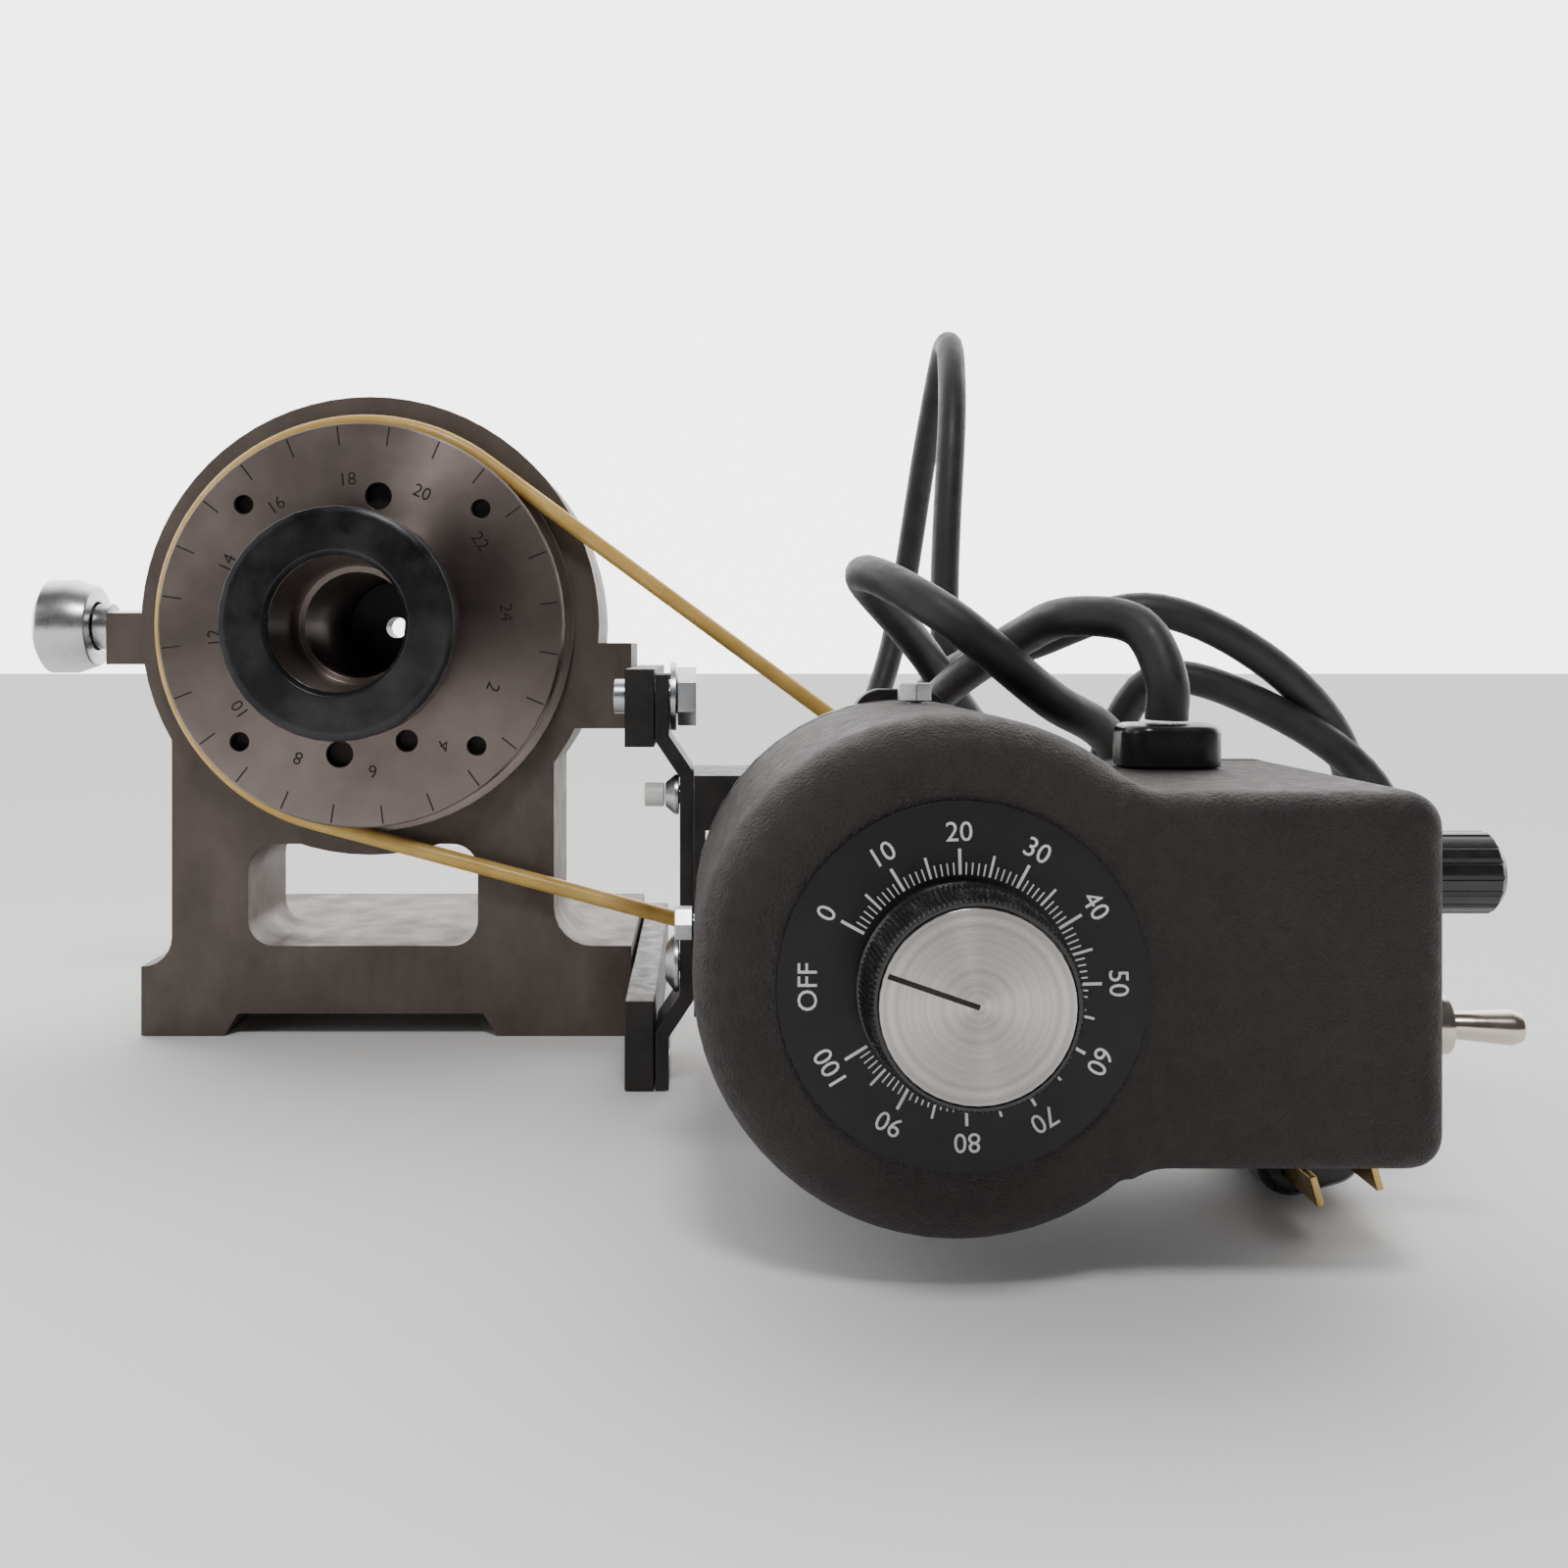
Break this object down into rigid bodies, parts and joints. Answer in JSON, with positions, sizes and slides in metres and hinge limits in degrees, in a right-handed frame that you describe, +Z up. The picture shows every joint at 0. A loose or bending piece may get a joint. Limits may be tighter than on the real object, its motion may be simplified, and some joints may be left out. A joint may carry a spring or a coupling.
{
  "type": "motorised collet index head",
  "caption": "Cast 5C collet index head turned by a gearmotor through a round belt, with a dial speed controller and mains cord.",
  "frame": {"origin": "bottom centre of everything but the cord and plug, on the bench", "axes": "+X from the head to the controller, +Y from the dial to the back, +Z up"},
  "size_m": [0.4078, 0.338, 0.2332],
  "materials": {
    "cast_iron": "machined and stained",
    "turned_steel": "turned, brown stained",
    "black_oxide": "satin black oxide",
    "bronze": "satin",
    "zinc": "zinc plated",
    "bright_aluminium": "turned, bright",
    "blackened_steel": "semi-matt black",
    "belt_urethane": "translucent amber",
    "wrinkle_black": "wrinkle enamel",
    "dial_black": "satin, printed scale",
    "moulded_black": "moulded",
    "nickel": "nickel plated",
    "brass": "bright",
    "copper_winding": "enamelled wire",
    "nylon": "natural nylon",
    "cord_rubber": "matt",
    "glass": "clear"
  },
  "bodies": {
    "root": {"head_casting": "cast_iron", "front_bush": "bronze", "rear_bush": "bronze", "plunger_sleeve": "zinc", "upper_bar": "blackened_steel", "foot_bar": "blackened_steel", "clamp_strip": "blackened_steel", "clamp_bolt": "zinc", "clamp_washer": "zinc", "foot_screw": "zinc", "channel_bracket": "blackened_steel", "upper_bracket_screw": "zinc", "lower_bracket_screw": "zinc", "end_cap": "nylon", "motor_can": "blackened_steel", "motor_gearbox": "cast_iron", "gearbox_screw_top": "zinc", "gearbox_screw_bottom": "zinc", "drive_belt": "belt_urethane", "case_shell": "wrinkle_black", "case_back": "blackened_steel", "cover_screw_top": "zinc", "cover_screw_left": "zinc", "cover_screw_bottom": "zinc", "adapter_strap": "blackened_steel", "strap_screw": "zinc", "transformer_core": "turned_steel", "transformer_winding": "copper_winding", "dial_plate": "dial_black", "terminal_block": "moulded_black", "fuse_holder": "moulded_black", "fuse": "glass", "toggle_body": "nickel", "toggle_nut": "nickel", "strain_relief": "moulded_black", "plug_body": "moulded_black", "plug_blade_left": "brass", "plug_blade_right": "brass", "power_cord": "cord_rubber"},
    "spindle_group": {"spindle": "turned_steel", "nose_ring": "black_oxide", "index_plate": "turned_steel", "spindle_pulley": "turned_steel", "index_ring": "turned_steel", "thrust_collar": "black_oxide", "collar_set_screw": "black_oxide"},
    "draw_nut_body": {"draw_nut": "black_oxide"},
    "plunger": {"plunger_knob": "bright_aluminium", "plunger_pin": "turned_steel"},
    "motor_output": {"motor_shaft": "turned_steel", "motor_pulley": "bright_aluminium", "pulley_set_screw": "black_oxide"},
    "speed_knob": {"control_knob": "moulded_black", "knob_insert": "bright_aluminium", "control_shaft": "turned_steel", "brush_arm": "brass", "carbon_brush": "moulded_black"},
    "toggle": {"toggle_lever": "nickel"},
    "fuse_cap_body": {"fuse_cap": "moulded_black"}
  },
  "joints": [
    {"name": "spindle_spin", "type": "hinge", "parent": "root", "child": "spindle_group", "pos_m": [-0.08035, 0.0516, 0.127], "axis": [0, 1, 0], "continuous": true},
    {"name": "draw_nut_turn", "type": "hinge", "parent": "spindle_group", "child": "draw_nut_body", "pos_m": [-0.08035, 0.1246, 0.127], "axis": [0, 1, 0], "continuous": true},
    {"name": "plunger_slide", "type": "slide", "parent": "root", "child": "plunger", "axis": [1, 0, 0], "range_m": [0, 0.004]},
    {"name": "motor_spin", "type": "hinge", "parent": "root", "child": "motor_output", "pos_m": [0.06565, 0.0516, 0.0568], "axis": [0, 1, 0], "continuous": true},
    {"name": "speed_turn", "type": "hinge", "parent": "root", "child": "speed_knob", "pos_m": [0.07025, -0.1484, 0.0589], "axis": [0, 1, 0], "range_deg": [-14, 306]},
    {"name": "toggle_tilt", "type": "hinge", "parent": "root", "child": "toggle", "pos_m": [0.16725, -0.1164, 0.0455], "axis": [0, 0, 1], "range_deg": [0, 24]},
    {"name": "fuse_cap_turn", "type": "hinge", "parent": "root", "child": "fuse_cap_body", "pos_m": [0.16465, -0.1164, 0.0757], "axis": [1, 0, 0], "range_deg": [0, 45]}
  ],
  "couplings": [
    {"joint": "motor_spin", "follows": "spindle_spin", "ratio": 1.9438}
  ]
}
